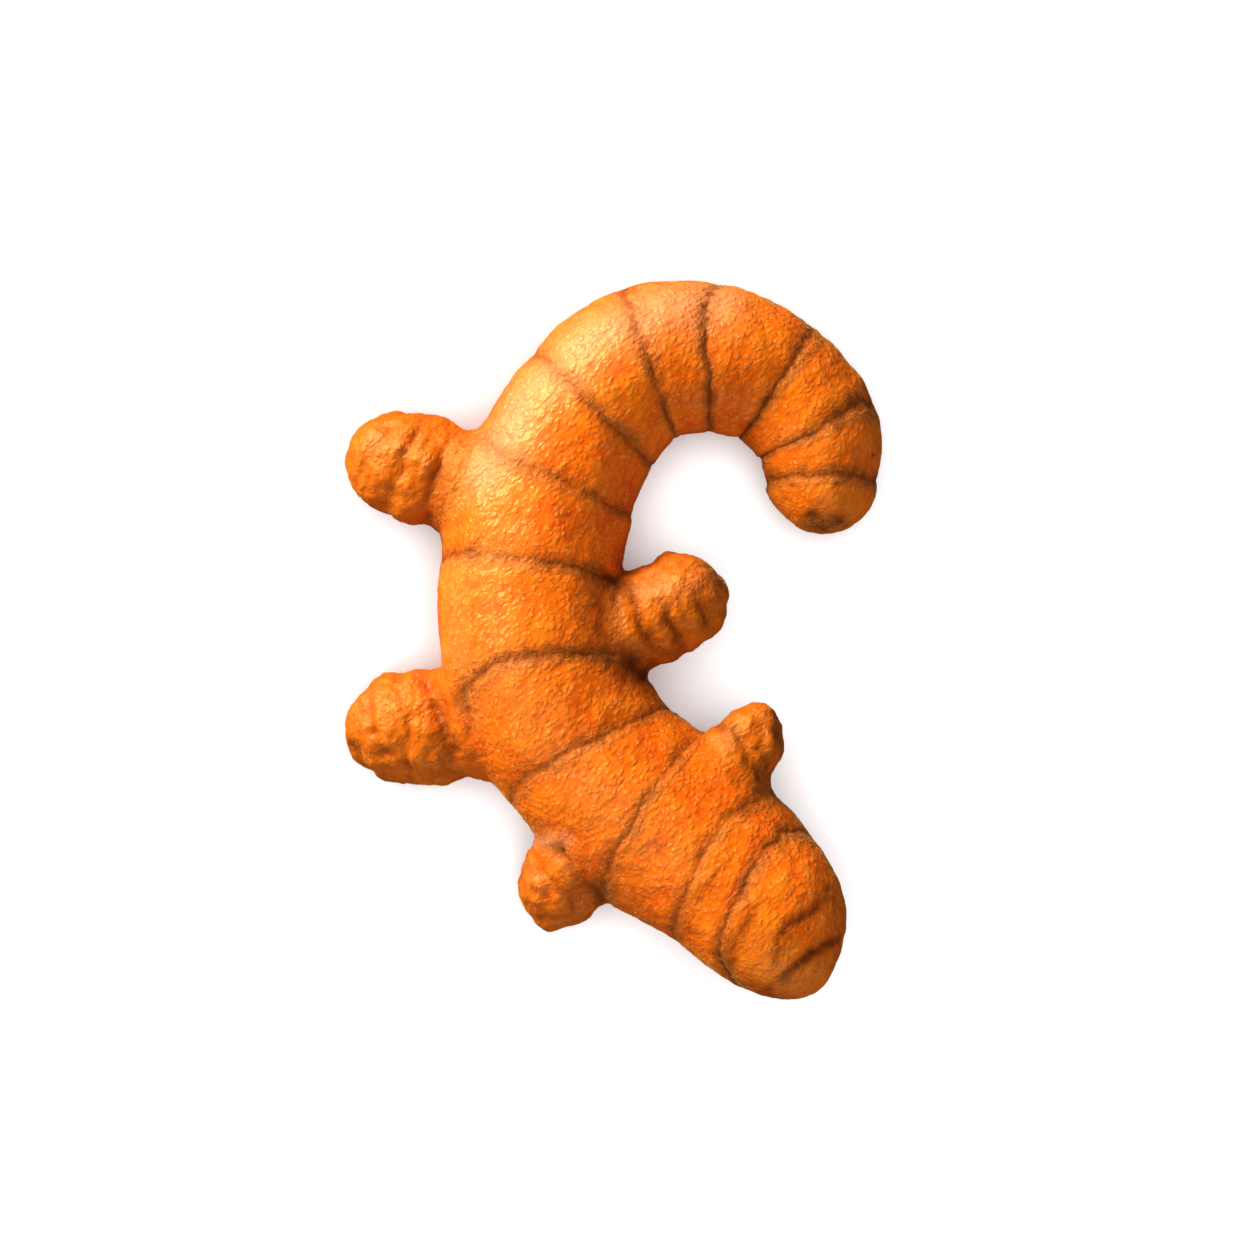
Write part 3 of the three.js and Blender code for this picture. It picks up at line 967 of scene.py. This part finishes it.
def makeSkinMaterial():
    look = skinLook
    material = bpy.data.materials.new("turmericSkin")
    sheet = NodeSheet(material)
    place = sheet.add("ShaderNodeTexCoord", output="Object")
    place = sheet.vectors("SCALE", place, 1 / mm, "Scale")  # millimetres
    limbPlace = sheet.attribute("limbPlace", "Vector")
    ringPlace = sheet.attribute("ringPlace", "Vector")
    ringOffset = sheet.add("ShaderNodeSeparateXYZ", None, {0: ringPlace})
    marks = ("ring", "lip", "bud", "joint", "hollow", "crease", "crust", "stainAndShade", "paintedHighlight")
    ring, lip, bud, joint, hollow, crease, crust, stainAndShade, paintedHighlight = (sheet.attribute(name) for name in marks)

    def faded(name, pattern):
        low, high, strength = skinFades[name]
        return sheet.fade(pattern, low, high) * strength

    # patterns, 0 to 1
    mottle = sheet.noise(place, look["mottleSize"], 3.0, 0.55)
    freckles = sheet.noise(place, look["freckleSize"], 3.0, 0.6, 0.3)
    grain = sheet.noise(place, look["grainSize"], 2.0, 0.6)
    crinkle = sheet.noise(place, look["crinkleSize"], 3.0, 0.65, 1.2)
    turned = sheet.add(
        "ShaderNodeVectorRotate",
        {"rotation_type": "Z_AXIS"},
        {"Vector": place, "Angle": -math.radians(skinRelief["slantTurn"])},
    )
    stirring = sheet.noise(place, look["stirSize"], 1.0, output="Color")
    stirring = sheet.vectors("SCALE", stirring, look["stir"], "Scale")
    stretched = sheet.vectors("MULTIPLY", turned, (1 / look["pebbleStretch"], 1.0, 1.0))
    stretched = sheet.vectors("ADD", stretched, stirring)
    stirred = sheet.vectors("ADD", place, stirring)
    pebble = 1 - faded("pebbleEdge", sheet.cells(stretched, look["pebbleSize"], 0.35))
    pore = 1 - faded("poreEdge", sheet.cells(stirred, look["poreSize"], 0.1))
    slanted = sheet.noise(sheet.drawnOut(turned, look["slantLength"], look["slantWidth"]), 1.0)
    streaks = sheet.drawnOut(limbPlace, look["streakLength"], look["streakWidth"])
    streaks = sheet.noise(streaks, 1.0, 3.0)
    alongScar = (1 / look["crackleWidth"], 1 / look["crackleLength"], 1 / look["crackleLength"])
    crackle = sheet.noise(sheet.vectors("MULTIPLY", ringPlace, alongScar), 1.0, 2.0, 0.6, 0.4)

    # a scar is a wandering line that breaks up, with finer lines beside it in a soft brown zone
    wander = (sheet.noise(place, look["scarWanderSize"], 3.0, 0.6) - 0.5) * look["scarWander"]
    lineOffset = ringOffset + wander
    unbroken = faded("unbrokenScar", sheet.noise(place, look["scarBreakSize"]))
    line = sheet.bell(lineOffset, look["scarLine"]) * (look["faintScar"] + unbroken)
    patches = faded("scarPatch", sheet.noise(place, look["scarPatchSize"]))
    zone = sheet.bell(lineOffset, look["scarZone"]) * (look["faintZone"] + patches)
    crackles = sheet.veins(crackle, look["crackleVein"]) * zone
    scar = sheet.maths("MAXIMUM", line, crackles * look["crackleShare"]) * ring
    lipOffset = lineOffset - sheet.maths("SIGN", lip) * skinRelief["lipOffset"]
    lipBand = sheet.bell(lipOffset, look["lipBand"]) * ring
    crusty = sheet.maths("MAXIMUM", lipBand * look["lipCrust"], crust)
    cracked = crease * (look["faintCrease"] + faded("crackedCrinkle", crinkle))
    # painted glints: cream flecks on the tops of the pebbles, stronger under the painted highlight
    paintedGlint = faded("pebbleTop", pebble) * faded("paintedGlintCrinkle", crinkle)
    # a scar's zone is bark brown, and tan under the painted highlight
    band = sheet.mix(paintedHighlight, look["bark"], look["tan"])

    # each tint covers what lies under it by its share
    colour = sheet.mix(faded("mottle", mottle), look["orange"], look["amber"])
    tints = [
        (faded("rustFreckles", freckles), look["rust"]),
        (pebble * look["amberPebbles"], look["amber"]),
        # painted highlight: paler skin on the sides that face the key lamp
        (paintedHighlight * (look["paintedHighlight"] + faded("paintedHighlightFreckles", freckles)), look["paintedHighlightColour"]),
        (paintedHighlight * paintedHighlight * look["paintedHighlightPeakShare"], look["paintedHighlightPeak"]),
        (paintedGlint * (look["paintedGlints"] + look["glintsInPaintedHighlight"] * paintedHighlight), look["paintedGlintColour"]),
        (faded("strawWrinkle", slanted) * (1 - bud), look["straw"]),
        (faded("strawStreak", streaks), look["straw"]),
        (faded("strawRise", hollow * -1), look["straw"]),
        (bud * (look["budTint"] + faded("budFreckles", freckles)), look["budGold"]),
        (pore * look["rustPores"], look["rust"]),
        # painted shade, rust in the hollows
        (faded("paintedShadeInHollows", hollow), look["rust"]),
        # brown stains, and painted shade round the bases of the buds
        (stainAndShade * (look["stainAndShadeTint"] + faded("stainAndShadeFreckles", freckles)), look["stainAndShadeBrown"]),
        (zone * ring * (look["zoneTint"] - look["scarZoneInPaintedHighlight"] * paintedHighlight), band),
        (crusty * faded("tanCrinkle", crinkle), look["tan"]),
        (crusty * faded("darkCrinkle", crinkle), look["scarBrown"]),
        (scar * look["scarTint"], look["scarBrown"]),
        # a crease's brown, partly painted shade in the groove
        (cracked * look["creaseTint"], look["scarBrown"]),
        # painted shade, dark in the hollows at the joints
        (joint * faded("paintedShadeInJoints", hollow), look["paintedJointShade"]),
    ]
    for share, tint in tints:
        colour = sheet.mix(share, colour, tint)

    roughness = look["gloss"] + look["freckleRough"] * freckles - look["pebbleSmooth"] * pebble
    roughness = roughness + look["budRough"] * bud + look["scarRough"] * (zone * ring + crusty)
    height = look["pebbleBump"] * pebble * (look["flatPebbles"] + look["pebblesInPaintedHighlight"] * paintedHighlight)
    height = height + look["grainBump"] * grain + look["streakBump"] * streaks
    height = height + look["slantBump"] * slanted * (1 - bud)
    height = height - look["scarBump"] * sheet.maths("MAXIMUM", scar, cracked)
    height = height + look["crinkleBump"] * crinkle * (crusty + look["budCrinkle"] * bud)
    bump = sheet.add("ShaderNodeBump", None, {"Strength": 1.0, "Distance": mm, "Height": height})

    skin = sheet.add(
        "ShaderNodeBsdfPrincipled",
        None,
        {
            "Base Color": colour,
            "Roughness": roughness,
            "IOR": look["ior"],
            "Specular Tint": look["glint"],
            "Sheen Weight": look["sheenWeight"],
            "Sheen Roughness": look["sheenRoughness"],
            "Sheen Tint": look["sheen"],
            "Normal": bump,
        },
    )
    sheet.add("ShaderNodeOutputMaterial", None, {"Surface": skin})
    return material


def makeRoot():
    mesh, places, marks = makeSkin()
    places = standInFrame(places) * mm
    mesh.vertices.foreach_set("co", places.astype(np.float32).ravel())
    mesh.name = "turmericRoot"
    mesh.polygons.foreach_set("use_smooth", np.ones(len(mesh.polygons), bool))
    for name, values in marks.items():
        keepNumbers(mesh, name, values)
    mesh.materials.clear()
    mesh.materials.append(makeSkinMaterial())
    mesh.update()
    root = newObject("turmericRoot", mesh)
    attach(root, "root")
    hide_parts("turmeric_rhizome")
    print("root:", len(mesh.polygons), "faces")
    return root


# The studio: a soft key lamp low on the upper left and a weak fill for the root alone, a soft sun
# overhead for the pale floor alone, so that the floor is even and throws no light back, and a white
# world, palest at the horizon.
studioLook = {
    "floorSide": 6.0,
    "floorColour": (0.92, 0.92, 0.92),
    "floorSun": 3.9,
    "floorSunSpread": 65.0,  # degrees that the sun spans, which softens the floor's shadow
    "overhead": 0.32,
    "horizon": 0.9,
    "underneath": 0.26,
    "horizonBand": (-0.06, 0.0),  # how far a direction points up where the horizon's light starts
    "overheadBand": (0.15, 0.4),  # and where it has given way to the light from overhead
    "lampAway": 0.75,
    "lampSize": 0.46,
    "keyTurn": 133.0,  # degrees round from +X
    "keyRise": 25.0,  # degrees above the floor
    "keyPower": 13.6,
    "fillTurn": 272.0,
    "fillRise": 30.0,
    "fillPower": 1.5,
    "lens": 100.0,
    "cameraPlace": (0.0015, 0.0015, 0.445),
}


# A lamp at a place, turned towards the origin, that lights one object alone.
def addLamp(name, kind, settings, place, lights):
    lamp = bpy.data.lights.new(name, kind)
    for key, value in settings.items():
        setattr(lamp, key, value)
    holder = newObject(name, lamp)
    holder.location = place
    holder.rotation_euler = holder.location.normalized().to_track_quat("Z", "Y").to_euler()
    lit = bpy.data.collections.new(name + "Lights")
    lit.objects.link(lights)
    holder.light_linking.receiver_collection = lit


def makeFloor():
    look = studioLook
    half = look["floorSide"] / 2
    corners = [(-half, -half, 0), (half, -half, 0), (half, half, 0), (-half, half, 0)]
    mesh = bpy.data.meshes.new("floor")
    mesh.from_pydata(corners, [], [(0, 1, 2, 3)])
    floor = newObject("floor", mesh)
    floor.visible_diffuse = False
    floor.visible_glossy = False
    floor.visible_shadow = False
    material = bpy.data.materials.new("paleFloor")
    sheet = NodeSheet(material)
    sockets = {"Base Color": look["floorColour"], "Roughness": 0.9, "Specular IOR Level": 0.1}
    paper = sheet.add("ShaderNodeBsdfPrincipled", None, sockets)
    sheet.add("ShaderNodeOutputMaterial", None, {"Surface": paper})
    mesh.materials.append(material)
    return floor


# The world's strength by how high a direction points: underneath, then the horizon, then overhead.
def makeWorld():
    look = studioLook
    world = bpy.data.worlds.new("studio")
    sheet = NodeSheet(world)
    direction = sheet.add("ShaderNodeTexCoord", output="Generated")
    rise = sheet.add("ShaderNodeSeparateXYZ", None, {0: direction}, "Z")
    lower = sheet.fade(rise, *look["horizonBand"])
    upper = sheet.fade(rise, *look["overheadBand"])
    strength = look["underneath"] + (look["horizon"] - look["underneath"]) * lower
    strength = strength - (look["horizon"] - look["overhead"]) * upper
    light = sheet.add("ShaderNodeBackground", None, {"Strength": strength})
    sheet.add("ShaderNodeOutputWorld", None, {"Surface": light})
    world.cycles_visibility.glossy = False
    bpy.context.scene.world = world


def makeStudio(root):
    look = studioLook
    for name in ("key", "fill"):
        turn = math.radians(look[name + "Turn"])
        rise = math.radians(look[name + "Rise"])
        flat = look["lampAway"] * math.cos(rise)
        place = (flat * math.cos(turn), flat * math.sin(turn), look["lampAway"] * math.sin(rise))
        settings = {"shape": "DISK", "size": look["lampSize"], "energy": look[name + "Power"]}
        addLamp(name + "Lamp", "AREA", settings, place, root)
    settings = {"angle": math.radians(look["floorSunSpread"]), "energy": look["floorSun"]}
    addLamp("floorSun", "SUN", settings, (0.0, 0.0, 1.0), makeFloor())
    makeWorld()
    bpy.context.scene.view_settings.view_transform = "Standard"

    camera = bpy.data.cameras.new("camera")
    camera.lens = look["lens"]
    camera.clip_start = 0.01
    holder = newObject("camera", camera)
    holder.location = look["cameraPlace"]
    bpy.context.scene.camera = holder


makeStudio(makeRoot())
